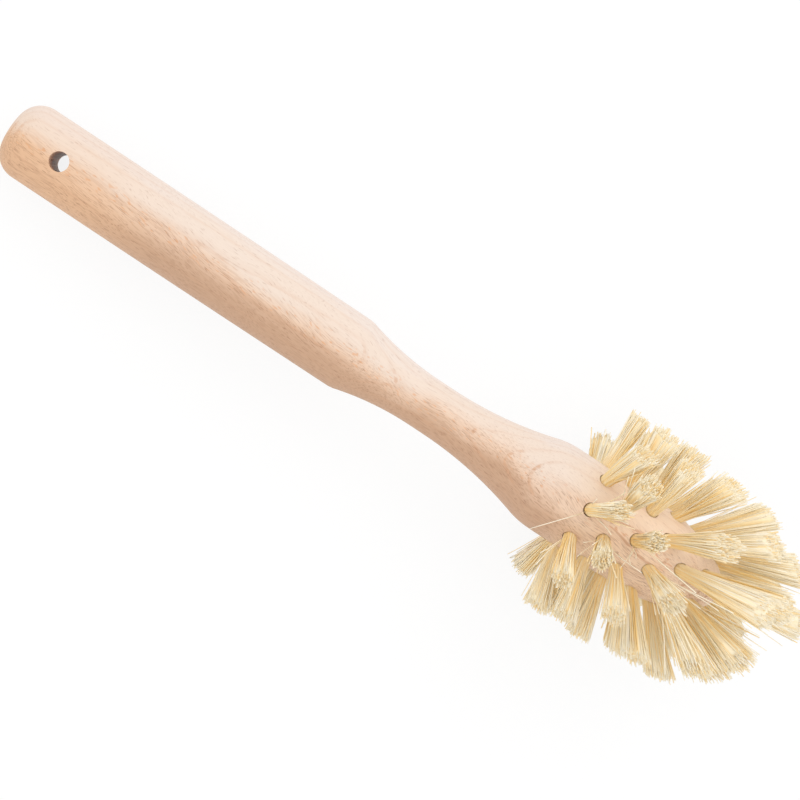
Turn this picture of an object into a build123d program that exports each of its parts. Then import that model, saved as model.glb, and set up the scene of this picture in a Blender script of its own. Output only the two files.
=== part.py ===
from build123d import *
from math import acos, atan2, cos, degrees, hypot, radians, sin, tan
import os

# Dish brush: a turned beech handle whose round head is drilled for tufts of plant fibre, held by wire staples.
# Millimetres and degrees. The brush lies as it rests on a table, on its butt and on its lowest tuft:
# +X runs from the butt to the head, +Z is up, and the origin is on the table under the middle of the brush.
# In the brush's own lengths, a station is the distance from the butt end along the brush's axis.

# Handle, in lengths that follow one another from the butt
barrel_length = 120.0
cove_length = 26.0
neck_length = 5.0
flare_length = 38.6
head_length = 64.4
nose_length = 30.0

# Handle, across
barrel_radius = 11.8
butt_corner_radius = 7.6
shoulder_edge_radius = 0.8
neck_radius = 8.13
head_corner_radius = 4.0
head_radius = 14.3
nose_length_shares = (0.0, 0.5, 0.85, 1.0)
nose_radius_shares = (1.0, 0.87, 0.56, 0.24)
nose_blend_radius = 8.0

# Hanging hole
hanging_hole_radius = 3.0
hanging_hole_station = 18.0
hanging_hole_turn = 4.0

# Drilling of the head
tuft_hole_radius = 2.6
tuft_hole_sides = 12
tuft_hole_depth = 7.0
first_ring_setback = 50.3
last_ring_setback = 8.3
ring_counts = (8, 8, 8, 8, 8, 6)
ring_leans = (2.0, 5.0, 12.0, 30.0, 50.0, 66.0)
ring_turns = (0.0, 22.5, 0.0, 22.5, 0.0, -16.0)

# Tufts
tuft_sides = 6
tuft_clearance = 0.1
tuft_collar = 0.8
strand_rows = (2, 3, 2)
strand_root = 0.9
strand_tip = 2.2
fan_angle = 10.0
reach_tolerance = 0.001

# Trimmed outline of the fibres
trim_radius = 33.0
trim_straight = 11.5
tip_fibre_length = 29.2
trim_shoulder_power = 4.0
trim_nose_power = 1.1
stand_flat = 0.5

# Staples
wire_thickness = 0.6
wire_width = 0.9
staple_length = 3.8
fold_thickness = 1.2

# One overrun serves all cuts
overrun = 6.0

# Worked out from the sizes above
neck_start_station = barrel_length + cove_length
neck_end_station = neck_start_station + neck_length
head_corner_station = neck_end_station + flare_length
brush_wood_length = head_corner_station + head_length
first_ring_station = brush_wood_length - first_ring_setback
ring_pitch = (first_ring_setback - last_ring_setback) / (len(ring_counts) - 1)
nose_station = brush_wood_length - nose_length
trim_station = first_ring_station + trim_straight
trim_nose_length = brush_wood_length + tip_fibre_length - trim_station
tuft_radius = tuft_hole_radius - tuft_clearance
staple_height = fold_thickness + wire_thickness
butt_flat_radius = barrel_radius - butt_corner_radius

# The brush tilts until the butt's rounded corner and the first ring's lowest tuft both touch the table.
stand_reach = first_ring_station - butt_corner_radius
stand_drop = trim_radius - stand_flat - butt_flat_radius
rest_tilt = acos(butt_corner_radius / hypot(stand_reach, stand_drop)) - atan2(stand_reach, stand_drop)
axis_height = butt_flat_radius * cos(rest_tilt) + butt_corner_radius * (1 - sin(rest_tilt))
axis_start = -(brush_wood_length + tip_fibre_length) * cos(rest_tilt) / 2

# Upright plane through the brush's axis: its x runs along the axis and its y away from it, upwards
brush_plane = Plane(
    origin=(axis_start, 0, axis_height),
    x_dir=(cos(rest_tilt), 0, sin(rest_tilt)),
    z_dir=(0, -1, 0),
)
brush_axis = Axis(brush_plane.origin, brush_plane.x_dir)


# Radius of the wood at a station of the head, whose nose tapers in straight steps
def head_surface(station):
    share = max(station - nose_station, 0) / nose_length
    radius_share = nose_radius_shares[0]
    for step in range(1, len(nose_length_shares)):
        past = share - nose_length_shares[step - 1]
        step_length = nose_length_shares[step] - nose_length_shares[step - 1]
        step_drop = nose_radius_shares[step - 1] - nose_radius_shares[step]
        radius_share -= step_drop * min(max(past / step_length, 0), 1)
    return head_radius * radius_share


# Radius of the trimmed fibres at a station
def trim_surface(station):
    share = min(max(station - trim_station, 0) / trim_nose_length, 1)
    return trim_radius * (1 - share**trim_shoulder_power) ** (1 / trim_nose_power)


# Plane in the mouth of a tuft hole: its z points out of the hole, and its x runs round the brush
def mouth_plane(station, lean, turn):
    away = brush_plane.y_dir.rotate(brush_axis, turn)
    around = brush_plane.z_dir.rotate(brush_axis, turn)
    mouth = brush_plane.origin + brush_plane.x_dir * station + away * head_surface(station)
    out = brush_plane.x_dir * sin(radians(lean)) + away * cos(radians(lean))
    return Plane(origin=mouth, x_dir=around, z_dir=out)


# How far above its mouth a strand reaches the trimmed outline, found by halving
def strand_reach(station, lean, across, along):
    low = 0
    high = brush_wood_length
    while high - low > reach_tolerance:
        middle = (low + high) / 2
        spread = 1 + middle * tan(radians(fan_angle)) / tuft_radius
        ahead = middle * sin(radians(lean)) + along * spread * cos(radians(lean))
        outward = middle * cos(radians(lean)) - along * spread * sin(radians(lean))
        distance = hypot(head_surface(station) + outward, across * spread)
        if distance < trim_surface(station + ahead):
            low = middle
        else:
            high = middle
    return low


# Planes in the mouths of one ring's holes
def ring_planes(ring):
    station = first_ring_station + ring * ring_pitch
    step = 360 / ring_counts[ring]
    return [
        mouth_plane(station, ring_leans[ring], ring_turns[ring] + number * step)
        for number in range(ring_counts[ring])
    ]


# Strands of one tuft in the tuft's own frame, with its mouth on XY: each widens along its own line to the outline
def tuft_strands(station, lean):
    row_pitch = 2 * tuft_radius / (max(strand_rows) + 1)
    strands = []
    for row, count in enumerate(strand_rows):
        along = (row - (len(strand_rows) - 1) / 2) * row_pitch
        for number in range(count):
            across = (number - (count - 1) / 2) * row_pitch
            reach = strand_reach(station, lean, across, along)
            slide = reach * tan(radians(fan_angle)) / tuft_radius
            with BuildPart() as strand:
                with Locations((across - strand_root / 2, along + strand_root / 2, 0)):
                    Wedge(
                        strand_root,
                        reach,
                        strand_root,
                        across * slide - (strand_tip - strand_root) / 2,
                        -along * slide - (strand_tip - strand_root) / 2,
                        across * slide + (strand_tip + strand_root) / 2,
                        -along * slide + (strand_tip + strand_root) / 2,
                        rotation=(90, 0, 0),
                        align=None,
                    )
            strands.append(strand.part)
    return strands


# Upright plane through a tuft's axis, with its origin on the floor of the hole
def staple_plane(mouth):
    floor = mouth.offset(-tuft_hole_depth)
    return Plane(origin=floor.origin, x_dir=floor.y_dir, z_dir=floor.x_dir)


# Outline of a staple that stands on the hole's floor, astride the folded bundle
def staple_outline():
    Rectangle(staple_length, staple_height, align=(Align.CENTER, Align.MIN))
    Rectangle(
        staple_length - 2 * wire_thickness,
        fold_thickness,
        align=(Align.CENTER, Align.MIN),
        mode=Mode.SUBTRACT,
    )


# One tuft in its own frame: the packed root that fills its hole, the fan of strands and the staple's slot
def build_tuft(station, lean):
    strands = tuft_strands(station, lean)
    with BuildPart() as tuft:
        with BuildSketch(Plane.XY.offset(-tuft_hole_depth)):
            RegularPolygon(tuft_radius, tuft_sides)
        extrude(amount=tuft_hole_depth + tuft_collar)
        add(strands)
        with BuildSketch(staple_plane(Plane.XY)):
            staple_outline()
        extrude(amount=wire_width / 2, both=True, mode=Mode.SUBTRACT)
    return tuft.part


all_rings = [ring_planes(ring) for ring in range(len(ring_counts))]
tip_plane = Plane(
    origin=brush_plane.from_local_coords((brush_wood_length, 0, 0)),
    x_dir=brush_plane.z_dir,
    z_dir=brush_plane.x_dir,
)
tuft_planes = [plane for ring in all_rings for plane in ring] + [tip_plane]

# Handle: turned outline, drilled tuft holes and the hanging hole
with BuildPart() as handle:
    with BuildSketch(brush_plane):
        with BuildLine():
            butt_face = Line((0, 0), (0, butt_flat_radius))
            butt_corner = RadiusArc(
                butt_face @ 1, (butt_corner_radius, barrel_radius), butt_corner_radius
            )
            barrel = Line(butt_corner @ 1, (barrel_length, barrel_radius))
            cove = TangentArc(
                (neck_start_station, neck_radius), barrel @ 1, tangent=(-1, 0)
            )
            neck = Line(cove @ 0, (neck_end_station, neck_radius))
            flare = TangentArc(neck @ 1, (head_corner_station, head_radius), tangent=(1, 0))
            Line(flare @ 1, (nose_station, head_radius))
            nose_points = [
                (nose_station + nose_length * length_share, head_radius * radius_share)
                for length_share, radius_share in zip(nose_length_shares, nose_radius_shares)
            ]
            nose = Polyline(*nose_points)
            Polyline(nose @ 1, (brush_wood_length, 0), (0, 0))
        outline = make_face()
        shoulder_point = outline.vertices().sort_by_distance((barrel_length, barrel_radius))[0]
        fillet(shoulder_point, shoulder_edge_radius)
        head_point = outline.vertices().sort_by_distance((head_corner_station, head_radius))[0]
        fillet(head_point, head_corner_radius)
        for nose_point in nose_points[:-1]:
            blend_point = outline.vertices().sort_by_distance(nose_point)[0]
            fillet(blend_point, nose_blend_radius)
    revolve(axis=brush_axis)
    with BuildSketch(*[plane.offset(-tuft_hole_depth) for plane in tuft_planes]):
        RegularPolygon(tuft_hole_radius, tuft_hole_sides)
    extrude(amount=tuft_hole_depth + overrun, mode=Mode.SUBTRACT)
    hole_centre = brush_plane.from_local_coords((hanging_hole_station, 0, 0))
    hole_direction = brush_plane.y_dir.rotate(brush_axis, hanging_hole_turn)
    with BuildSketch(Plane(origin=hole_centre, x_dir=brush_plane.x_dir, z_dir=hole_direction)):
        Circle(hanging_hole_radius)
    extrude(amount=barrel_radius + overrun, both=True, mode=Mode.SUBTRACT)

# Tufts: one shape for each ring, set in each of its holes, and cut flat where it would pass through the table
tufts = []
for ring, planes in enumerate(all_rings + [[tip_plane]]):
    if ring < len(all_rings):
        ring_tuft = build_tuft(first_ring_station + ring * ring_pitch, ring_leans[ring])
    else:
        ring_tuft = build_tuft(brush_wood_length, 90)
    for number, plane in enumerate(planes):
        with BuildPart() as tuft:
            with Locations(plane.location):
                add(ring_tuft)
            if tuft.part.bounding_box().min.Z < 0:
                split(bisect_by=Plane.XY, keep=Keep.TOP)
        tuft.part.label = f"tuft_ring{ring + 1}_{number + 1}" if ring < len(all_rings) else "tuft_tip"
        tufts.append(tuft.part)

# Staples: the wire staples of one ring share a node
staples = []
for ring, planes in enumerate(all_rings + [[tip_plane]]):
    with BuildPart() as ring_staples:
        with BuildSketch(*[staple_plane(plane) for plane in planes]):
            staple_outline()
        extrude(amount=wire_width / 2, both=True)
    ring_staples.part.label = f"staples_ring{ring + 1}" if ring < len(all_rings) else "staple_tip"
    staples.append(ring_staples.part)

handle.part.label = "handle"
os.makedirs("parts", exist_ok=True)
for piece in [handle.part] + tufts + staples:
    export_step(piece, f"parts/{piece.label}.step")

strand_count = sum(strand_rows) * len(tuft_planes)
print(f"{len(tuft_planes)} tufts with {strand_count} strands in all")
print(f"rest tilt {degrees(rest_tilt):.3f} degrees, hanging hole centre {hole_centre}")
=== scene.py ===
import bpy
import math
import numpy as np
from functools import partial
from mathutils import Matrix, Vector


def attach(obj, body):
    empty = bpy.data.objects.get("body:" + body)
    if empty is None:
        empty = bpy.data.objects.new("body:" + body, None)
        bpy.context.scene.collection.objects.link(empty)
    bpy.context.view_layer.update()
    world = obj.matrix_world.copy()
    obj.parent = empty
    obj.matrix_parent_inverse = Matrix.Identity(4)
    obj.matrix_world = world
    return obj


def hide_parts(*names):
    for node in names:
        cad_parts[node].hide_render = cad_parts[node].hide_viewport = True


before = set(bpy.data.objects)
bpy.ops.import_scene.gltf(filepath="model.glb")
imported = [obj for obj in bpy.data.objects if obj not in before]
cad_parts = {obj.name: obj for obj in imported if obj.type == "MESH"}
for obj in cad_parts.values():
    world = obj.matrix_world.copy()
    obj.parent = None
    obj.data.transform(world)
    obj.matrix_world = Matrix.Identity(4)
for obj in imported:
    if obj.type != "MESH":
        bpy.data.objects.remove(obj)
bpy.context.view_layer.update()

# The brush is modelled straight, in metres: +X runs from the butt along its axis and +Z is up,
# and layOnTable() then sets each piece down as the frame has it, on its butt and its lowest tuft.
brush = {
    "woodLength": 0.254,
    "fibreLength": 0.0292,       # past the end of the wood
    "barrelRadius": 0.0118,
    "buttCorner": 0.0076,
    "headRadius": 0.0143,
    "noseStation": 0.224,
    "ringStation": 0.2037,
    "ringPitch": 0.0084,
    "ringCounts": (8, 8, 8, 8, 8, 6),
    "ringLeans": (2, 5, 12, 30, 50, 66),
    "ringTurns": (0, 22.5, 0, 22.5, 0, -16),
    "trimRadius": 0.033,
    "trimStraight": 0.0115,
    "standFlat": 0.0005,
}

standReach = brush["ringStation"] - brush["buttCorner"]
buttFlat = brush["barrelRadius"] - brush["buttCorner"]
standDrop = brush["trimRadius"] - brush["standFlat"] - buttFlat
restTilt = math.acos(brush["buttCorner"] / math.hypot(standReach, standDrop))
restTilt -= math.atan2(standReach, standDrop)
axisHeight = buttFlat * math.cos(restTilt) + brush["buttCorner"] * (1 - math.sin(restTilt))
axisStart = -(brush["woodLength"] + brush["fibreLength"]) * math.cos(restTilt) / 2
onTable = Matrix.Translation((axisStart, 0, axisHeight)) @ Matrix.Rotation(-restTilt, 4, "Y")


def nothingSelected():
    if bpy.context.mode != "OBJECT":
        bpy.ops.object.mode_set(mode="OBJECT")
    bpy.ops.object.select_all(action="DESELECT")


def pickOnly(piece):
    nothingSelected()
    piece.select_set(True)
    bpy.context.view_layer.objects.active = piece


# applies the piece's own place, then lays it on the table
def layOnTable(piece):
    piece.data.transform(onTable @ piece.matrix_world)
    piece.matrix_world = Matrix.Identity(4)


def nodes(name):
    material = bpy.data.materials.new(name)
    material.use_nodes = True
    tree = material.node_tree
    tree.nodes.clear()
    return material, tree


def addNode(tree, kind, **values):
    made = tree.nodes.new(kind)
    for key, value in values.items():
        if hasattr(made, key):
            setattr(made, key, value)
        else:
            made.inputs[key].default_value = value
    return made


# camera: how the photograph sees the brush
view = {
    "aimStation": 0.1397,
    "aimAside": -0.0034,
    "distance": 0.580,
    "headward": 5.2,      # degrees that the view leans towards the head
    "turn": -2.3,         # degrees round the brush's axis
    "slope": 33.5,        # degrees that the brush runs down across the picture
    "lens": 86.85,
    "sensorWidth": 36,
    "clipStart": 0.01,
    "clipEnd": 20,
}


def placeCamera():
    turn, lean, slope = (math.radians(view[key]) for key in ("turn", "headward", "slope"))
    along = Vector((1, 0, 0))
    aside = Vector((0, math.cos(turn), -math.sin(turn)))
    near = Vector((0, math.sin(turn), math.cos(turn)))
    forward = along * math.sin(lean) - near * math.cos(lean)
    across = along * math.cos(lean) + near * math.sin(lean)
    right = across * math.cos(slope) + aside * math.sin(slope)
    up = aside * math.cos(slope) - across * math.sin(slope)
    spot = along * view["aimStation"] + aside * view["aimAside"] - forward * view["distance"]
    placed = Matrix((right, up, -forward)).transposed().to_4x4()
    placed.translation = spot
    cameraData = bpy.data.cameras.new("camera")
    cameraData.lens = view["lens"]
    cameraData.sensor_width = view["sensorWidth"]
    cameraData.clip_start = view["clipStart"]
    cameraData.clip_end = view["clipEnd"]
    eye = bpy.data.objects.new("camera", cameraData)
    bpy.context.scene.collection.objects.link(eye)
    eye.matrix_world = onTable @ placed
    bpy.context.scene.camera = eye


placeCamera()
print("camera placed")


# handle: one turned piece of beech
handle = {
    "barrelEnd": 0.1200,
    "barrelSwell": 0.0001,       # the grip's middle stands this much prouder than its ends
    "shoulderEdge": 0.0008,
    "coveEnd": 0.1460,
    "neckEnd": 0.1510,
    "neckRadius": 0.00813,
    "headCorner": 0.1896,
    "headBlend": 0.0030,
    "blendStretch": 2.4,         # length of the round into the head, in times of headBlend
    "points": {"butt": 16, "barrel": 40, "shoulder": 18, "flare": 20, "blend": 9, "side": 16, "nose": 21},
    "turningSteps": 144,
    "mergeWithin": 0.000002,
    "smoothBelow": 35,           # degrees
    "holeSides": 28,
    "tuftHoleRadius": 0.0022,
    "tuftHoleDepth": 0.007,
    "hangingHole": 0.018,
    "hangingHoleRadius": 0.003,
    "hangingHoleTurn": 4,
    "hangingHoleSides": 64,
    "overrun": 0.006,
}


# radius of the wood at a station of the head
def headSurface(station):
    share = max(station - brush["noseStation"], 0) / (brush["woodLength"] - brush["noseStation"])
    return brush["headRadius"] * math.sqrt(max(1 - share**2, 0))


# radius of a hollow round that leaves the neck's radius and has risen by rise after length
def hollowRound(along, length, rise):
    bend = (length**2 + rise**2) / (2 * rise)
    return handle["neckRadius"] + bend - math.sqrt(bend**2 - along**2)


# even shares from 0 to 1 for one stretch of the outline
def sharesOf(stretch):
    return np.linspace(0, 1, handle["points"][stretch])


# outline of the turned handle, from the middle of the butt to the tip of the nose
def turnedOutline():
    corner, edge, blend = brush["buttCorner"], handle["shoulderEdge"], handle["headBlend"]
    points = [(0, 0), (0, buttFlat * 0.5)]
    for share in sharesOf("butt"):
        angle = math.pi / 2 * share
        points.append((corner * (1 - math.cos(angle)), buttFlat + corner * math.sin(angle)))
    for share in sharesOf("barrel")[1:]:
        station = corner + (handle["barrelEnd"] - edge - corner) * share
        points.append((station, brush["barrelRadius"] + handle["barrelSwell"] * math.sin(math.pi * share)))
    coveLength = handle["coveEnd"] - handle["barrelEnd"]
    coveRise = brush["barrelRadius"] - handle["neckRadius"]
    for share in sharesOf("shoulder"):
        away = (coveLength - edge) * (1 - share)
        points.append((handle["coveEnd"] - away, hollowRound(away, coveLength, coveRise)))
    flareLength = handle["headCorner"] - handle["neckEnd"]
    flareRise = brush["headRadius"] - handle["neckRadius"]
    for share in sharesOf("flare"):
        along = (flareLength - blend) * share
        points.append((handle["neckEnd"] + along, hollowRound(along, flareLength, flareRise)))
    blendStart, blendRise = points[-1][0], brush["headRadius"] - points[-1][1]
    for share in sharesOf("blend")[1:]:
        station = blendStart + handle["blendStretch"] * blend * share
        points.append((station, brush["headRadius"] - blendRise * (1 - share)**2))
    sideStart = points[-1][0]
    for share in sharesOf("side")[1:]:
        points.append((sideStart + (brush["noseStation"] - sideStart) * share, brush["headRadius"]))
    noseLength = brush["woodLength"] - brush["noseStation"]
    for share in sharesOf("nose")[1:]:
        station = brush["noseStation"] + noseLength * math.sin(math.pi / 2 * share)
        points.append((station, headSurface(station)))
    return points


# where a tuft hole opens, and the way it points; the turn runs from the top towards -Y
def holeMouth(station, lean, turn):
    away = Vector((0, -math.sin(math.radians(turn)), math.cos(math.radians(turn))))
    mouth = Vector((station, 0, 0)) + away * headSurface(station)
    return mouth, Vector((1, 0, 0)) * math.sin(math.radians(lean)) + away * math.cos(math.radians(lean))


def tuftPlaces():
    places = []
    for ring, count in enumerate(brush["ringCounts"]):
        station = brush["ringStation"] + ring * brush["ringPitch"]
        for number in range(count):
            turn = brush["ringTurns"][ring] + number * 360 / count
            mouth, out = holeMouth(station, brush["ringLeans"][ring], turn)
            places.append((f"tuft_ring{ring + 1}_{number + 1}", mouth, out, brush["ringLeans"][ring], turn))
    places.append(("tuft_tip", Vector((brush["woodLength"], 0, 0)), Vector((1, 0, 0)), 90, 0))
    return places


# one edge line is drawn point by point, then spun round the axis as on a lathe
def turnHandle():
    outline = [Vector((station, 0, radius)) for station, radius in turnedOutline()]
    nothingSelected()
    bpy.ops.mesh.primitive_plane_add(size=0.001, location=outline[0])
    wood = bpy.context.active_object
    wood.name = "turnedHandle"
    pickOnly(wood)
    bpy.ops.object.transform_apply(location=True, rotation=True, scale=True)
    bpy.ops.object.mode_set(mode="EDIT")
    bpy.ops.mesh.select_all(action="SELECT")
    bpy.ops.mesh.merge(type="CENTER")
    for here, there in zip(outline, outline[1:]):
        bpy.ops.mesh.extrude_vertices_move(TRANSFORM_OT_translate={"value": there - here})
    bpy.ops.mesh.select_all(action="SELECT")
    bpy.ops.mesh.spin(steps=handle["turningSteps"], angle=2 * math.pi, center=(0, 0, 0), axis=(1, 0, 0))
    bpy.ops.mesh.select_all(action="SELECT")
    bpy.ops.mesh.remove_doubles(threshold=handle["mergeWithin"])
    bpy.ops.mesh.normals_make_consistent(inside=False)
    bpy.ops.object.mode_set(mode="OBJECT")
    return wood


# drills the tuft holes and the hanging hole
def drillHandle(wood):
    drills = []
    depth, overrun = handle["tuftHoleDepth"], handle["overrun"]
    for _, mouth, out, _, _ in tuftPlaces():
        nothingSelected()
        bpy.ops.mesh.primitive_cylinder_add(
            vertices=handle["holeSides"], radius=handle["tuftHoleRadius"], depth=depth + overrun,
            location=mouth + out * (overrun - depth) / 2, rotation=out.to_track_quat("Z", "Y").to_euler(),
        )
        drills.append(bpy.context.active_object)
    turn = math.radians(handle["hangingHoleTurn"])
    nothingSelected()
    bpy.ops.mesh.primitive_cylinder_add(
        vertices=handle["hangingHoleSides"], radius=handle["hangingHoleRadius"],
        depth=2 * (brush["barrelRadius"] + overrun), location=(handle["hangingHole"], 0, 0), rotation=(turn, 0, 0),
    )
    drills.append(bpy.context.active_object)
    pickOnly(drills[0])
    for drill in drills:
        drill.select_set(True)
    bpy.ops.object.join()
    cutter = bpy.context.active_object
    pickOnly(wood)
    cut = wood.modifiers.new("drilling", "BOOLEAN")
    cut.operation = "DIFFERENCE"
    cut.solver = "EXACT"
    cut.object = cutter
    bpy.ops.object.modifier_apply(modifier=cut.name)
    bpy.data.objects.remove(cutter)
    pickOnly(wood)
    bpy.ops.object.shade_smooth_by_angle(angle=math.radians(handle["smoothBelow"]))


# materials: small helpers that all of them use
def joinInput(tree, socket, value):
    if isinstance(value, (int, float)):
        socket.default_value = value
    elif isinstance(value, tuple):
        socket.default_value = (*value, 1)
    else:
        tree.links.new(value, socket)


def mathNode(tree, operation, first, second=0.0, clamp=False):
    made = addNode(tree, "ShaderNodeMath", operation=operation, use_clamp=clamp)
    joinInput(tree, made.inputs[0], first)
    joinInput(tree, made.inputs[1], second)
    return made.outputs[0]


# the four sums on one tree, as short calls: plus, minus, times and over
def sumsOf(tree):
    return [partial(mathNode, tree, operation) for operation in ("ADD", "SUBTRACT", "MULTIPLY", "DIVIDE")]


# 0 below low and 1 above high, with a soft step between
def softStep(tree, value, low, high):
    made = addNode(tree, "ShaderNodeMapRange", interpolation_type="SMOOTHSTEP")
    made.inputs["From Min"].default_value = low
    made.inputs["From Max"].default_value = high
    joinInput(tree, made.inputs["Value"], value)
    return made.outputs["Result"]


def mixColour(tree, amount, first, second):
    made = addNode(tree, "ShaderNodeMix", data_type="RGBA")
    joinInput(tree, made.inputs["Factor"], amount)
    joinInput(tree, made.inputs[6], first)
    joinInput(tree, made.inputs[7], second)
    return made.outputs[2]


# noise whose grains are one over the scale long, in metres, along each of the brush's own directions
def noiseAt(tree, coordinates, scale, detail=2, shift=(0, 0, 0)):
    stretch = addNode(tree, "ShaderNodeMapping", Scale=scale, Location=shift)
    texture = addNode(tree, "ShaderNodeTexNoise", Scale=1, Detail=detail)
    tree.links.new(coordinates, stretch.inputs["Vector"])
    tree.links.new(stretch.outputs["Vector"], texture.inputs["Vector"])
    return texture.outputs["Fac"]


def outputSurface(tree, surface):
    output = addNode(tree, "ShaderNodeOutputMaterial")
    tree.links.new(surface.outputs["BSDF"], output.inputs["Surface"])


# noises below are given as their scale along each direction, their detail and their shift
beech = {
    # the side colours below are painted light and shade: paler towards +Y, where the key light falls, and darker
    # and warmer towards -Y
    "shaded": (0.565, 0.350, 0.222),     # painted shade: the side towards -Y, darker and warmer
    "middle": (0.768, 0.545, 0.395),
    "pale": (0.770, 0.635, 0.535),       # painted light: the side towards +Y, paler
    "palest": (0.765, 0.655, 0.585),
    "middleRange": (-0.0086, -0.0010),   # where across the wood each tone sets in and is full
    "paleRange": (-0.0045, 0.0050),
    "palestRange": (0.0055, 0.0115),
    "sideNoise": ((24, 160, 160), 3, (5, 1, 3)),
    "sideWander": 0.012,
    "leastAround": 0.0065,               # nearer to the axis than this, the sides no longer narrow
    "neckStart": (0.138, 0.150),
    "neckEnd": (0.172, 0.188),
    "neckShade": 0.0034,                 # the painted shade reaches this much further round the neck
    "buttTint": (0.750, 0.460, 0.270),
    "buttRange": (0.022, 0.062),
    "buttShow": 0.75,
    "buttPaleLoss": 0.62,
    # the head is painted paler: partly its own tone, partly painted light to offset the shade of the tufts
    "headTint": (0.890, 0.685, 0.510),
    "headRange": (0.190, 0.212),
    "headShow": 0.80,
    "pithDepth": 0.055,                  # the growth rings' middle, below the brush's axis
    "ringTilt": 0.012,                   # rise of the rings for each metre along the brush
    "ringPitch": 0.0021,
    "ringShift": -0.00037,
    "ringNoise": ((35, 110, 110), 2, (0, 0, 0)),
    "ringWander": 0.0009,
    "ringTint": (0.600, 0.330, 0.190),
    "lateStart": (0.70, 0.96),           # shares of a ring over which its late wood comes and goes
    "lateEnd": (0.97, 1.0),
    "lateShow": 0.10,
    "leastSteep": 0.0002,                # keeps the lines finite where the surface follows a ring
    "lineRange": (0.00025, 0.00075),     # distance from a ring's edge over which its line fades
    "breakNoise": ((160, 700, 700), 2, (7, 2, 9)),
    "breakRange": (0.36, 0.62),
    "bandShift": 0.0010,
    "bandRange": (0.0025, 0.0070),       # the band along the middle, where the lines show most
    "gripRange": (0.118, 0.150),
    "lineShow": 0.08,
    "lineBandGain": 0.62,
    "lineGripLoss": 0.34,
    "grainSkew": 0.16,                   # the grain crosses the axis at this slope
    "weaveNoise": ((30, 60, 60), 1, (2, 8, 4)),
    "weave": 0.010,
    "fineTint": (0.400, 0.220, 0.125),
    "fineNoise": ((190, 2900, 2900), 1, (0, 0, 0)),
    "fineRange": (0.47, 0.63),
    "fineShow": 0.06,
    "fineShadeGain": 0.24,
    "dashTint": (0.330, 0.160, 0.090),
    "dashNoise": ((420, 4800, 4000), 0, (11, 5, 3)),
    "dashEdge": 0.680,                   # noise above this becomes a dash
    "dashPaleRise": 0.035,
    "dashLateFall": 0.02,
    "dashSharpness": 26,
    "dashShow": 0.54,
    "dashPaleLoss": 0.26,
    "rayTint": (0.700, 0.350, 0.170),
    "rayNoise": ((520, 1500, 1500), 0, (3, 3, 8)),
    "rayShift": 0.0008,
    "rayRange": (0.0012, 0.0042),
    "rayEdge": 0.66,
    "raySharpness": 9,
    "rayShow": 0.60,
    "poreStrength": 0.30,
    "poreDepth": 0.00005,
    "poreFineShare": 0.35,
    "roughness": 0.50,
    "specular": 0.45,
}


# a point in the brush's own lengths, as it was before it was laid on the table
def brushLengths(tree):
    place = addNode(tree, "ShaderNodeTexCoord")
    grain = addNode(tree, "ShaderNodeMapping", vector_type="TEXTURE")
    grain.inputs["Location"].default_value = (axisStart, 0, axisHeight)
    grain.inputs["Rotation"].default_value = (0, -restTilt, 0)
    tree.links.new(place.outputs["Object"], grain.inputs["Vector"])
    split = addNode(tree, "ShaderNodeSeparateXYZ")
    tree.links.new(grain.outputs["Vector"], split.inputs["Vector"])
    return grain.outputs["Vector"], *split.outputs


# how steeply the turned surface cuts the growth rings
def cutSteepness(tree, aside):
    link = tree.links.new
    _, minus, times, over = sumsOf(tree)
    faceOut = addNode(tree, "ShaderNodeNewGeometry")
    turnedOut = addNode(tree, "ShaderNodeMapping", vector_type="TEXTURE")
    turnedOut.inputs["Rotation"].default_value = (0, -restTilt, 0)
    link(faceOut.outputs["Normal"], turnedOut.inputs["Vector"])
    ringOut = addNode(tree, "ShaderNodeCombineXYZ", X=beech["ringTilt"], Z=1)
    link(over(aside, beech["pithDepth"]), ringOut.inputs["Y"])
    ringWay = addNode(tree, "ShaderNodeVectorMath", operation="NORMALIZE")
    link(ringOut.outputs[0], ringWay.inputs[0])
    facing = addNode(tree, "ShaderNodeVectorMath", operation="DOT_PRODUCT")
    link(ringWay.outputs[0], facing.inputs[0])
    link(turnedOut.outputs[0], facing.inputs[1])
    facingShare = facing.outputs["Value"]
    steep = mathNode(tree, "MAXIMUM", minus(1, times(facingShare, facingShare)), beech["leastSteep"])
    return mathNode(tree, "SQRT", steep)


# growth rings round the pith, which runs a little out of line with the brush: their late wood, and the lines
# of even width along their edges
def growthRings(tree, space, along, aside, upwards):
    plus, minus, times, over = sumsOf(tree)
    depth = plus(upwards, beech["pithDepth"])
    fromPith = mathNode(tree, "SQRT", plus(times(aside, aside), times(depth, depth)))
    bend = times(minus(noiseAt(tree, space, *beech["ringNoise"]), 0.5), beech["ringWander"])
    height = plus(plus(plus(fromPith, times(along, beech["ringTilt"])), bend), beech["ringShift"])
    share = mathNode(tree, "FRACT", over(height, beech["ringPitch"]))
    lateEnd = minus(1, softStep(tree, share, *beech["lateEnd"]))
    lateWood = times(softStep(tree, share, *beech["lateStart"]), lateEnd)
    offLine = minus(0.5, mathNode(tree, "ABSOLUTE", minus(share, 0.5)))
    offLine = over(times(offLine, beech["ringPitch"]), cutSteepness(tree, aside))
    return lateWood, minus(1, softStep(tree, offLine, *beech["lineRange"]))
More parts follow.
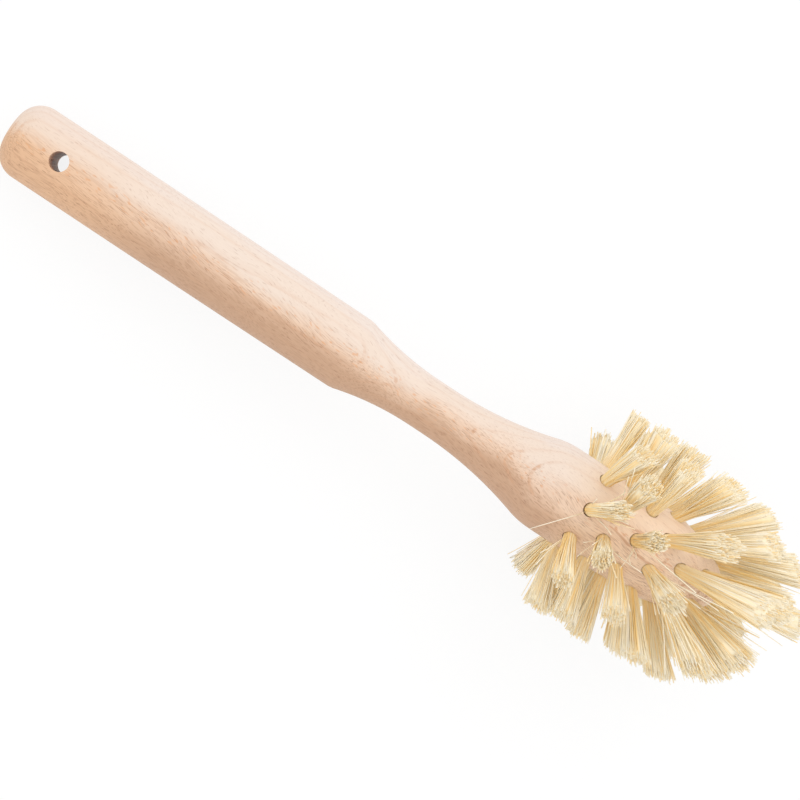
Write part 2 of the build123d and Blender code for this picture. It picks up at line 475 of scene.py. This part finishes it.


# painted light and shade: the side towards +Y painted pale and the side towards -Y painted darker and warmer, with
# a flame-shaped border; a warm butt, and a lighter head whose paleness is partly painted light against the tufts'
# shade
def sideColours(tree, space, along, aside, upwards):
    plus, minus, times, over = sumsOf(tree)
    around = mathNode(tree, "SQRT", plus(times(aside, aside), times(upwards, upwards)))
    around = mathNode(tree, "MAXIMUM", around, beech["leastAround"])
    across = times(over(aside, around), brush["barrelRadius"])
    neckEnd = minus(1, softStep(tree, along, *beech["neckEnd"]))
    neck = times(softStep(tree, along, *beech["neckStart"]), neckEnd)
    wander = times(minus(noiseAt(tree, space, *beech["sideNoise"]), 0.5), beech["sideWander"])
    border = plus(minus(across, times(neck, beech["neckShade"])), wander)
    paintedLightShare = softStep(tree, border, *beech["paleRange"])
    colour = mixColour(tree, softStep(tree, border, *beech["middleRange"]), beech["shaded"], beech["middle"])
    colour = mixColour(tree, paintedLightShare, colour, beech["pale"])
    colour = mixColour(tree, softStep(tree, border, *beech["palestRange"]), colour, beech["palest"])
    butt = minus(1, softStep(tree, along, *beech["buttRange"]))
    warmth = times(butt, minus(beech["buttShow"], times(paintedLightShare, beech["buttPaleLoss"])))
    colour = mixColour(tree, warmth, colour, beech["buttTint"])
    head = softStep(tree, along, *beech["headRange"])
    return mixColour(tree, times(head, beech["headShow"]), colour, beech["headTint"]), across, paintedLightShare


# beech: painted light on the +Y side and painted shade on the -Y side, growth rings that show as arcs where the
# turned surface cuts them, fine lines and dark dashes along the grain, and ray blotches along the top of the rings
def beechMaterial():
    material, tree = nodes("beech")
    link = tree.links.new
    plus, minus, times, _ = sumsOf(tree)
    space, along, aside, upwards = brushLengths(tree)
    lateWood, ringLine = growthRings(tree, space, along, aside, upwards)
    colour, across, paintedLightShare = sideColours(tree, space, along, aside, upwards)

    # ring lines, broken along their length, faint away from the middle and on the grip
    broken = softStep(tree, noiseAt(tree, space, *beech["breakNoise"]), *beech["breakRange"])
    offMiddle = mathNode(tree, "ABSOLUTE", plus(across, beech["bandShift"]))
    band = minus(1, softStep(tree, offMiddle, *beech["bandRange"]))
    grip = minus(1, softStep(tree, along, *beech["gripRange"]))
    gain = minus(beech["lineBandGain"], times(grip, beech["lineGripLoss"]))
    lineShow = plus(beech["lineShow"], times(band, gain))
    colour = mixColour(tree, times(times(ringLine, broken), lineShow), colour, beech["ringTint"])
    colour = mixColour(tree, times(lateWood, beech["lateShow"]), colour, beech["ringTint"])

    # fine lines and dashes follow the grain, which weaves across the axis at a slant
    slant = plus(aside, times(along, beech["grainSkew"]))
    weave = times(noiseAt(tree, space, *beech["weaveNoise"]), beech["weave"])
    slanted = addNode(tree, "ShaderNodeCombineXYZ")
    for socket, value in zip(slanted.inputs, (along, plus(slant, weave), upwards)):
        link(value, socket)
    grainSpace = slanted.outputs["Vector"]
    fine = softStep(tree, noiseAt(tree, grainSpace, *beech["fineNoise"]), *beech["fineRange"])
    # the fine lines and dashes show more on the painted shade side and less on the painted light side
    fineShow = plus(beech["fineShow"], times(minus(1, paintedLightShare), beech["fineShadeGain"]))
    colour = mixColour(tree, times(fine, fineShow), colour, beech["fineTint"])
    edge = plus(times(paintedLightShare, beech["dashPaleRise"]), beech["dashEdge"])
    edge = minus(edge, times(lateWood, beech["dashLateFall"]))
    dashNoise = noiseAt(tree, grainSpace, *beech["dashNoise"])
    dashes = times(minus(dashNoise, edge), beech["dashSharpness"], clamp=True)
    dashShow = minus(beech["dashShow"], times(paintedLightShare, beech["dashPaleLoss"]))
    colour = mixColour(tree, times(dashes, dashShow), colour, beech["dashTint"])

    # ray blotches near the top of the rings
    offTop = mathNode(tree, "ABSOLUTE", plus(aside, beech["rayShift"]))
    topBand = minus(1, softStep(tree, offTop, *beech["rayRange"]))
    rayNoise = noiseAt(tree, grainSpace, *beech["rayNoise"])
    rays = times(minus(rayNoise, beech["rayEdge"]), beech["raySharpness"], clamp=True)
    colour = mixColour(tree, times(times(rays, topBand), beech["rayShow"]), colour, beech["rayTint"])

    # dashes and lines are pores, a little sunk into the surface
    pores = addNode(tree, "ShaderNodeBump", Strength=beech["poreStrength"], Distance=beech["poreDepth"])
    link(minus(1, plus(dashes, times(fine, beech["poreFineShare"]))), pores.inputs["Height"])
    surface = addNode(tree, "ShaderNodeBsdfPrincipled", Roughness=beech["roughness"])
    surface.inputs["Specular IOR Level"].default_value = beech["specular"]
    link(colour, surface.inputs["Base Color"])
    link(pores.outputs["Normal"], surface.inputs["Normal"])
    outputSurface(tree, surface)
    return material


turned = turnHandle()
drillHandle(turned)
layOnTable(turned)
turned.data.materials.clear()
turned.data.materials.append(beechMaterial())
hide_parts("handle")
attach(turned, "root")
print("handle turned and drilled:", len(turned.data.vertices), "points")


# tufts: bundles of plant fibre, drawn into the holes and trimmed round
fibre = {
    "seed": 500,
    "count": 400,
    "radius": 0.000155,
    "radiusSpread": 0.3,
    "cuts": 5,
    "rootRadius": 0.00192,
    "rootShift": 0.00010,    # bundles sit against the head side of their holes
    "rootDepth": 0.0050,
    "waist": 0.0014,         # how far above the mouth a bundle stays tight
    "fans": (7.0, 7.0, 7.0, 7.3, 7.6, 7.9, 8.1),   # degrees that each ring's outermost fibres lean out
    "chanceLean": 1.2,       # spread, in degrees, of the tufts that aren't combed below
    "chanceTurn": 1.5,
    "wander": 1.0,           # degrees of each fibre's own stray
    "wisps": 20,             # a tuft's fibres gather into so many wisps
    "wispPlace": (0.2, 0.8),
    "gather": 0.22,
    "wispWander": 0.7,
    "wave": 0.00014,         # how far a fibre bows, and how fast the bow swings along it
    "swing": 3.4,
    "ragged": 0.0007,
    "shortShare": 0.28,
    "shortBy": 0.0036,
    "strayShare": 0.05,
    "strayWander": 4.5,
    "looseRoot": 0.8,        # share of the bundle's radius at which loose fibres leave it
    "looseTone": 0.95,
    "tone": 0.55,            # 0 is golden and 1 is pale
    "toneSpread": 0.25,
    "wispToneSpread": 0.13,
    "shortTone": 0.3,        # short fibres and those in the middle are this much more golden
    "middleTone": 0.2,
    "shoulderPower": 4.0,    # how the trimmed outline rounds from its straight side to its tip
    "nosePower": 1.1,
    "floorGap": 0.0003,
    "longest": 0.06,         # a fibre's length is found by halving this so many times
    "halvings": 22,
    "coreSides": 24,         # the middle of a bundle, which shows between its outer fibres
    "coreRings": 7,
    "coreShare": 0.90,
    "coreShort": 0.0005,
    "coreTousled": 0.5,      # share of a tuft's extra shortness that shortens the core too
    "coreWorn": 2,           # its wear counts so many times in that
    "coreRidges": 0.07,
    "coreTone": 0.40,
    "coreToneSpread": 0.22,
    "coreEndTone": 0.7,
    "coreRun": 0.85,         # the core's end is coloured as this far along a fibre
}

# how single tufts are combed: degrees of lean towards the head, of turn round the brush, and of fan
combing = {
    "tuft_ring1_1": (15.0, -16, 3.4),
    "tuft_ring1_2": (4.2, -7, 4.8),
    "tuft_ring1_3": (9, -18, 7.6),
    "tuft_ring1_4": (-4.8, -5, 6.0),
    "tuft_ring1_6": (-4, -5, 6.5),
    "tuft_ring1_7": (0, 0, 4.6),
    "tuft_ring1_8": (5.2, 7, 5.5),
    "tuft_ring2_1": (-6, -0.5, 6.4),
    "tuft_ring2_2": (2, 2.8, 6.0),
    "tuft_ring2_3": (4.5, -1.5, 8.0),
    "tuft_ring2_7": (-5.5, -6, 9.0),
    "tuft_ring2_8": (-6.5, -7, 6.0),
    "tuft_ring3_1": (-4.5, -8, 4.2),
    "tuft_ring3_2": (-1, -4, 6.0),
    "tuft_ring3_7": (-2, 2.5, 9.5),
    "tuft_ring3_8": (-9, -14, 7.0),
    "tuft_ring4_1": (-11, -6.8, 6.0),
    "tuft_ring4_2": (-1.5, -5.5, 6.2),
    "tuft_ring4_3": (-0.5, -2, 6.0),
    "tuft_ring4_7": (-8, 5.2, 9.0),
    "tuft_ring4_8": (3, 0, 6.4),
    "tuft_ring5_1": (12.5, -12, 6.4),
    "tuft_ring5_2": (-0.8, 11.8, 6.6),
    "tuft_ring5_3": (-11, -5.2, 6.4),
    "tuft_ring5_7": (-5, 1.2, 7.0),
    "tuft_ring5_8": (-3, -0.5, 6.6),
    "tuft_ring6_1": (-3, -7, 7.0),
    "tuft_ring6_2": (-8.5, -12.8, 7.2),
    "tuft_ring6_3": (-2.5, -4.5, 7.0),
    "tuft_ring6_6": (-2, 14, 7.6),
    "tuft_tip": (-14, -85, 5.8),
}

# tufts whose fibres lie wilder than the others': by how many times, the share of short ones, and how short
tousled = {
    "tuft_ring1_1": (1.5, 0.50, 0.0070),
    "tuft_ring1_2": (1.1, 0.35, 0.0040),
    "tuft_ring1_6": (0.9, 0.55, 0.0060),
    "tuft_ring1_8": (1.2, 0.40, 0.0050),
    "tuft_ring2_1": (1.7, 0.45, 0.0050),
    "tuft_ring2_2": (1.2, 0.40, 0.0045),
    "tuft_ring2_8": (1.5, 0.45, 0.0060),
    "tuft_ring3_1": (1.5, 0.50, 0.0070),
    "tuft_ring3_8": (1.3, 0.40, 0.0050),
    "tuft_ring4_1": (1.6, 0.45, 0.0060),
    "tuft_ring4_8": (1.3, 0.40, 0.0060),
    "tuft_ring5_2": (1.5, 0.50, 0.0070),
    "tuft_ring5_3": (1.3, 0.45, 0.0060),
    "tuft_ring6_2": (1.5, 0.55, 0.0075),
    "tuft_ring6_3": (1.4, 0.50, 0.0070),
}

# tufts worn shorter than the trimmed outline, and by how much
worn = {"tuft_ring1_1": 0.0035, "tuft_ring2_1": 0.0042, "tuft_ring3_1": 0.0030, "tuft_ring1_7": 0.0012}

# loose fibres of single tufts: lean and turn of each in degrees, its length, and how far it bows
looseFibres = {
    "tuft_ring1_1": (
        (-40, 98, 0.0195, 0.0002), (38, 26, 0.010, 0.0008), (23, -4, 0.017, 0.0004), (-10, -14, 0.009, 0.0003),
    ),
    "tuft_ring1_2": ((-33, 73, 0.011, 0.0012), (-22, 66, 0.015, -0.0010)),
    "tuft_ring1_4": ((-28, 52, 0.020, 0.0003), (-26, 47, 0.020, 0.0006)),
    "tuft_ring2_1": ((46, 16, 0.015, 0.0010), (-27, 51, 0.012, 0.0006), (-39, 34, 0.009, 0.0004)),
    "tuft_ring3_1": (
        (-5, 56, 0.011, 0.0005), (9, 46, 0.008, -0.0018), (-2, 38, 0.009, 0.0016), (50, 16, 0.024, 0.0004),
    ),
    "tuft_ring4_1": ((61, -8, 0.027, 0.0005), (57, -3, 0.024, -0.0004)),
    "tuft_ring6_2": ((55, 6, 0.027, 0.0006), (40, -8, 0.027, 0.0004), (47, 2, 0.025, -0.0005)),
    "tuft_ring6_1": ((48, 41, 0.020, 0.0006),),
    "tuft_ring5_2": ((27, 43, 0.0265, 0.0005), (23, 50, 0.026, -0.0004)),
}


# radius of the trimmed fibres at a station
def trimSurface(station):
    start = brush["ringStation"] + brush["trimStraight"]
    length = brush["woodLength"] + brush["fibreLength"] - start
    share = np.clip((station - start) / length, 0, 1)
    return brush["trimRadius"] * (1 - share ** fibre["shoulderPower"]) ** (1 / fibre["nosePower"])


# height above the table of points in the brush's own lengths
def tableHeight(points):
    return axisHeight + points[..., 0] * math.sin(restTilt) + points[..., 2] * math.cos(restTilt)


# one fibre is modelled once, of length 1 and radius 1, and cut along its length so that it can bend
def modelFibre():
    nothingSelected()
    bpy.ops.mesh.primitive_cylinder_add(vertices=4, radius=1, depth=1, location=(0, 0, 0.5))
    stem = bpy.context.active_object
    pickOnly(stem)
    bpy.ops.object.transform_apply(location=True, rotation=True, scale=True)
    bpy.ops.object.mode_set(mode="EDIT")
    for cut in range(1, fibre["cuts"] + 1):
        bpy.ops.mesh.select_all(action="SELECT")
        bpy.ops.mesh.bisect(plane_co=(0, 0, cut / (fibre["cuts"] + 1)), plane_no=(0, 0, 1))
    bpy.ops.object.mode_set(mode="OBJECT")
    shape = np.array([point.co[:] for point in stem.data.vertices])
    sides = [tuple(side.vertices) for side in stem.data.polygons]
    bpy.data.objects.remove(stem)
    return shape, sides


fibreShape, fibreSides = modelFibre()


# direction that leans from square-on towards the head, at a turn round the brush; both in degrees
def leaningWay(lean, turn):
    lean, turn = math.radians(lean), math.radians(turn)
    away = np.array((0, -math.sin(turn), math.cos(turn)))
    return np.array((1.0, 0, 0)) * math.sin(lean) + away * math.cos(lean)


# how far each line goes from its start before it meets the trimmed outline or the table
def trimmedLength(start, heading):
    low, high = np.zeros(len(start)), np.full(len(start), fibre["longest"])
    for _ in range(fibre["halvings"]):
        middle = (low + high) / 2
        ends = start + heading * middle[:, None]
        inside = np.hypot(ends[:, 1], ends[:, 2]) < trimSurface(ends[:, 0])
        inside &= tableHeight(ends) > fibre["floorGap"]
        low, high = np.where(inside, middle, low), np.where(inside, high, middle)
    return low


# points at the heights given, from the hole's depth out: straight in the hole, then opening from the waist
def bundleLine(start, hole, aim, heading, rise):
    above = np.clip(rise, 0, None)
    opened = above**2 / (above + fibre["waist"])
    line = start[:, None] + hole * np.clip(rise, None, 0)[:, :, None] + aim * above[:, :, None]
    return line + (heading - aim)[:, None] * opened[:, :, None], above


goldenAngle = 2.39996     # from one sunflower seed to the next, in radians
anyAngle = (0, 6.28)


# places in a disc of radius 1, as evenly packed as sunflower seeds
def seedPlaces(order, count, turn):
    angle, reach = order * goldenAngle + turn, np.sqrt(order / count)
    return np.stack((np.cos(angle) * reach, np.sin(angle) * reach), axis=1)


# how a tuft leaves its hole: root, hole direction, combed aim, and the two directions across the aim
def tuftDirections(mouth, out, lean, turn):
    aim = leaningWay(lean, turn)
    side = np.cross(aim, (1.0, 0, 0))
    side = side / np.linalg.norm(side) if np.linalg.norm(side) > 0.01 else np.array((0, 1.0, 0))
    root, hole = np.array(mouth), np.array(out)
    headward = np.array((1.0, 0, 0)) - hole * hole[0]
    return root + headward * fibre["rootShift"], hole, aim, side, np.cross(side, aim)


# each fibre's start in the hole, heading, length, bow and tone, gathered in wisps
def spreadFibres(name, root, aim, side, front, fanSlope, draw):
    count, wisps = fibre["count"], fibre["wisps"]
    spot = seedPlaces(np.arange(count) + 0.5, count, draw.uniform(*anyAngle))
    wispOrder = np.arange(wisps) + draw.uniform(*fibre["wispPlace"], wisps)
    wispSpot = seedPlaces(wispOrder, wisps, draw.uniform(*anyAngle))
    wisp = np.argmin(np.linalg.norm(spot[:, None] - wispSpot[None], axis=2), axis=1)
    wispSlope = draw.normal(0, 1, (wisps, 2)) * math.tan(math.radians(fibre["wispWander"]))
    wispTone = draw.normal(0, fibre["wispToneSpread"], wisps)
    strays = draw.random(count) < fibre["strayShare"]
    wander = np.radians(np.where(strays, fibre["strayWander"], fibre["wander"]))
    wildness, shortShare, shortBy = tousled.get(name, (1, fibre["shortShare"], fibre["shortBy"]))
    wander = wander * wildness
    gathered = spot + (wispSpot[wisp] - spot) * fibre["gather"]
    slope = gathered * fanSlope + wispSlope[wisp] + draw.normal(0, 1, (count, 2)) * np.tan(wander)[:, None]
    start = root + (side * spot[:, :1] + front * spot[:, 1:]) * fibre["rootRadius"]
    heading = aim + side * slope[:, :1] + front * slope[:, 1:]
    length = trimmedLength(start, heading) - worn.get(name, 0) + draw.normal(0, 1, count) * fibre["ragged"]
    short = np.where(draw.random(count) < shortShare, draw.uniform(0, 1, count), 0)
    length -= short * shortBy
    bow = draw.normal(0, 1, (count, 2)) * fibre["wave"]
    middle = 1 - np.linalg.norm(spot, axis=1)
    tones = fibre["tone"] + wispTone[wisp] + draw.normal(0, fibre["toneSpread"], count)
    tones = np.clip(tones - fibre["shortTone"] * short - fibre["middleTone"] * middle, 0, 1)
    return start, heading, length, bow, tones


# loose fibres join the bundle at the edge of the hole
def addLooseFibres(name, root, hole, start, heading, length, bow, tones):
    for looseLean, looseTurn, looseLength, looseBow in looseFibres.get(name, ()):
        way = leaningWay(looseLean, looseTurn)
        edge = way - hole * (way @ hole)
        edge = edge / np.linalg.norm(edge) * fibre["rootRadius"] * fibre["looseRoot"]
        start = np.vstack((start, root + edge))
        heading = np.vstack((heading, way))
        length = np.append(length, looseLength)
        bow = np.vstack((bow, (looseBow, looseBow)))
        tones = np.append(tones, fibre["looseTone"])
    return start, heading, length, bow, tones


# copies of the modelled fibre laid along their lines, each bent, turned and as thick as chance has it
def layFibres(hole, aim, side, front, start, heading, length, bow, draw):
    count = len(length)
    phase = draw.uniform(*anyAngle, count)
    thick = fibre["radius"] * (1 + fibre["radiusSpread"] * draw.uniform(-1, 1, count))
    twist = draw.uniform(*anyAngle, count)
    rise = (length[:, None] + fibre["rootDepth"]) * fibreShape[None, :, 2] - fibre["rootDepth"]
    line, above = bundleLine(start, hole, aim, heading, rise)
    run = above / np.maximum(length[:, None], 0.001)
    swing = np.sin(run * fibre["swing"] + phase[:, None])[:, :, None] * run[:, :, None]
    line = line + (side * bow[:, None, :1] + front * bow[:, None, 1:]) * swing
    cosine, sine = np.cos(twist)[:, None], np.sin(twist)[:, None]
    flatX = (fibreShape[:, 0] * cosine - fibreShape[:, 1] * sine) * thick[:, None]
    flatY = (fibreShape[:, 0] * sine + fibreShape[:, 1] * cosine) * thick[:, None]
    points = (line + side * flatX[:, :, None] + front * flatY[:, :, None]).reshape(-1, 3)
    size = len(fibreShape)
    faces = [tuple(corner + size * number for corner in face) for number in range(count) for face in fibreSides]
    return points, faces, run.ravel()


# the core: a closed skin of its own, ridged and toned like the fibres round it
def makeCore(name, root, hole, aim, side, front, fanSlope, draw):
    sides, rings = fibre["coreSides"], fibre["coreRings"]
    _, _, shortBy = tousled.get(name, (1, fibre["shortShare"], fibre["shortBy"]))
    shortBy = max(shortBy + worn.get(name, 0) * fibre["coreWorn"] - fibre["shortBy"], 0) * fibre["coreTousled"]
    angle = np.arange(sides) * 2 * math.pi / sides
    rim = np.stack((np.cos(angle), np.sin(angle)), axis=1) * fibre["coreShare"]
    rim = rim * (1 + draw.uniform(-1, 1, sides) * fibre["coreRidges"])[:, None]
    rim = np.vstack((rim, (0, 0)))
    start = root + (side * rim[:, :1] + front * rim[:, 1:]) * fibre["rootRadius"]
    heading = aim + (side * rim[:, :1] + front * rim[:, 1:]) * fanSlope
    length = trimmedLength(start, heading) - fibre["coreShort"] - shortBy
    rise = (length[:, None] + fibre["rootDepth"]) * np.linspace(0, 1, rings)[None] - fibre["rootDepth"]
    line, above = bundleLine(start, hole, aim, heading, rise)
    points = np.vstack((line[:-1].transpose(1, 0, 2).reshape(-1, 3), line[-1, 0], line[-1, -1]))
    run = np.append((above / length[:, None])[:-1].T.ravel(), (0, 1)) * fibre["coreRun"]
    tones = np.tile(np.clip(draw.normal(fibre["coreTone"], fibre["coreToneSpread"], sides), 0, 1), rings)
    faces = []
    for low in range(0, (rings - 1) * sides, sides):
        for number in range(sides):
            beside = (number + 1) % sides
            faces.append((low + number, low + beside, low + sides + beside, low + sides + number))
    bottom, top, last = rings * sides, rings * sides + 1, (rings - 1) * sides
    for number in range(sides):
        beside = (number + 1) % sides
        faces.append((beside, number, bottom))
        faces.append((last + number, last + beside, top))
    return points, faces, np.append(tones, (fibre["coreTone"], fibre["coreEndTone"])), run


# a tuft: fibres fanned out in wisps, bent a little and cut off at the trimmed outline, round a packed core
def makeTuft(name, mouth, out, lean, turn, fan, draw):
    chance = draw.normal(0, fibre["chanceLean"]), draw.normal(0, fibre["chanceTurn"]), fan
    ownLean, ownTurn, fan = combing.get(name, chance)
    fanSlope = math.tan(math.radians(fan))
    root, hole, aim, side, front = tuftDirections(mouth, out, lean + ownLean, turn + ownTurn)
    fibres = spreadFibres(name, root, aim, side, front, fanSlope, draw)
    start, heading, length, bow, tones = addLooseFibres(name, root, hole, *fibres)
    points, faces, run = layFibres(hole, aim, side, front, start, heading, length, bow, draw)
    tones = np.repeat(tones, len(fibreShape))

    corePoints, coreFaces, coreTones, coreRun = makeCore(name, root, hole, aim, side, front, fanSlope, draw)
    faces += [tuple(corner + len(points) for corner in face) for face in coreFaces]
    points = np.vstack((points, corePoints))
    tones, run = np.append(tones, coreTones), np.append(run, coreRun)
    points[:, 2] += np.clip(fibre["floorGap"] - tableHeight(points), 0, None)

    mesh = bpy.data.meshes.new(name)
    mesh.from_pydata(points.tolist(), [], faces)
    mesh.attributes.new("fibreTone", "FLOAT", "POINT").data.foreach_set("value", tones)
    mesh.attributes.new("fibreRun", "FLOAT", "POINT").data.foreach_set("value", run)
    piece = bpy.data.objects.new(name.replace("tuft", "fibres"), mesh)
    bpy.context.scene.collection.objects.link(piece)
    pickOnly(piece)
    bpy.ops.object.shade_smooth()
    layOnTable(piece)
    return piece


# a tone between 0 and 1 runs from golden through cream to pale
straw = {
    "golden": (0.970, 0.700, 0.300),
    "cream": (0.985, 0.850, 0.575),
    "pale": (0.985, 0.920, 0.770),
    "creamRange": (0.05, 0.50),
    "paleRange": (0.45, 1.0),
    # root: partly painted shade, fibres deeper golden near the wood, where the bundles shade each other
    "root": (0.970, 0.700, 0.310),
    "rootRange": (0.02, 0.55),       # shares of a fibre's run over which the root's and the end's colours fade
    "rootShow": 0.45,
    "end": (0.985, 0.900, 0.730),
    "endRange": (0.45, 1.0),
    "endShow": 0.20,
    "endToneGain": 0.60,
    "roughness": 0.50,
    "specular": 0.1,
}


# plant fibre: each fibre has its own tone from gold to cream, deeper near the wood, partly as painted shade, and
# paler at the trimmed end
def fibreMaterial():
    material, tree = nodes("plantFibre")
    plus, minus, times, _ = sumsOf(tree)
    tone = addNode(tree, "ShaderNodeAttribute", attribute_name="fibreTone").outputs["Fac"]
    run = addNode(tree, "ShaderNodeAttribute", attribute_name="fibreRun").outputs["Fac"]
    colour = mixColour(tree, softStep(tree, tone, *straw["creamRange"]), straw["golden"], straw["cream"])
    colour = mixColour(tree, softStep(tree, tone, *straw["paleRange"]), colour, straw["pale"])
    near = minus(1, softStep(tree, run, *straw["rootRange"]))
    colour = mixColour(tree, times(near, straw["rootShow"]), colour, straw["root"])
    bleached = plus(straw["endShow"], times(tone, straw["endToneGain"]))
    colour = mixColour(tree, times(softStep(tree, run, *straw["endRange"]), bleached), colour, straw["end"])
    surface = addNode(tree, "ShaderNodeBsdfPrincipled", Roughness=straw["roughness"])
    surface.inputs["Specular IOR Level"].default_value = straw["specular"]
    tree.links.new(colour, surface.inputs["Base Color"])
    outputSurface(tree, surface)
    return material


plantFibre = fibreMaterial()
ringOf = [ring for ring, count in enumerate(brush["ringCounts"]) for _ in range(count)]
ringOf.append(len(brush["ringCounts"]))
for number, (name, mouth, out, lean, turn) in enumerate(tuftPlaces()):
    draw = np.random.default_rng(fibre["seed"] + number)
    tuft = makeTuft(name, mouth, out, lean, turn, fibre["fans"][ringOf[number]], draw)
    tuft.data.materials.append(plantFibre)
    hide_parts(name)
    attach(tuft, "root")
print("tufts drawn and trimmed")


# staples: the frame's own, in drawn wire
wire = {"colour": (0.55, 0.55, 0.56), "roughness": 0.25, "drawMarks": 9000, "markDepth": 0.2}


def wireMaterial():
    material, tree = nodes("stapleWire")
    plus, _, times, _ = sumsOf(tree)
    place = addNode(tree, "ShaderNodeTexCoord")
    marks = noiseAt(tree, place.outputs["Object"], (wire["drawMarks"],) * 3)
    surface = addNode(tree, "ShaderNodeBsdfPrincipled", Metallic=1)
    surface.inputs["Base Color"].default_value = (*wire["colour"], 1)
    tree.links.new(plus(times(marks, wire["markDepth"]), wire["roughness"]), surface.inputs["Roughness"])
    outputSurface(tree, surface)
    return material


stapleWire = wireMaterial()
for name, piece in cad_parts.items():
    if name.startswith("staple"):
        piece.data.materials.clear()
        piece.data.materials.append(stapleWire)


# floor and light
studio = {
    "floorSize": 8,
    "floorColour": (0.93, 0.93, 0.93, 1),
    "floorLift": 0.86,        # how much of the floor is plain white to the camera; the rest keeps the shadow
    "roomColour": (1, 1, 1, 1),
    "skyStrength": 1.08,
    "keyStrength": 3.5,
    "keySize": 0.9,
    "keySpot": (0.15, 0.95, 1.05),
}


# 1 where the camera, a reflection or glass looks straight at the surface
def seenDirectly(tree):
    path = addNode(tree, "ShaderNodeLightPath")
    mirrored = mathNode(tree, "MAXIMUM", path.outputs["Is Camera Ray"], path.outputs["Is Glossy Ray"])
    return mathNode(tree, "MAXIMUM", mirrored, path.outputs["Is Transmission Ray"])


def makeFloor():
    nothingSelected()
    bpy.ops.mesh.primitive_plane_add(size=studio["floorSize"], location=(0, 0, 0))
    floor = bpy.context.active_object
    floor.name = "paleFloor"
    material, tree = nodes("paleFloor")
    link = tree.links.new
    lit = addNode(tree, "ShaderNodeBsdfDiffuse", Color=studio["floorColour"])
    white = addNode(tree, "ShaderNodeEmission")
    both = addNode(tree, "ShaderNodeMixShader")
    link(mathNode(tree, "MULTIPLY", seenDirectly(tree), studio["floorLift"]), both.inputs["Fac"])
    link(lit.outputs[0], both.inputs[1])
    link(white.outputs[0], both.inputs[2])
    output = addNode(tree, "ShaderNodeOutputMaterial")
    link(both.outputs[0], output.inputs["Surface"])
    floor.data.materials.append(material)


def makeLight():
    world = bpy.data.worlds.new("paleRoom")
    bpy.context.scene.world = world
    world.use_nodes = True
    tree = world.node_tree
    tree.nodes.clear()
    link = tree.links.new
    room = addNode(tree, "ShaderNodeBackground", Color=studio["roomColour"], Strength=studio["skyStrength"])
    plain = addNode(tree, "ShaderNodeBackground", Color=studio["roomColour"])
    both = addNode(tree, "ShaderNodeMixShader")
    link(seenDirectly(tree), both.inputs["Fac"])
    link(room.outputs[0], both.inputs[1])
    link(plain.outputs[0], both.inputs[2])
    output = addNode(tree, "ShaderNodeOutputWorld")
    link(both.outputs[0], output.inputs["Surface"])
    key = bpy.data.lights.new("keyPanel", "AREA")
    key.energy = studio["keyStrength"]
    key.size = studio["keySize"]
    panel = bpy.data.objects.new("keyPanel", key)
    bpy.context.scene.collection.objects.link(panel)
    spot = Vector(studio["keySpot"])
    panel.location = spot
    panel.rotation_euler = (-spot).to_track_quat("-Z", "Y").to_euler()


makeFloor()
makeLight()
bpy.context.scene.view_settings.view_transform = "Standard"
print("floor and light set")
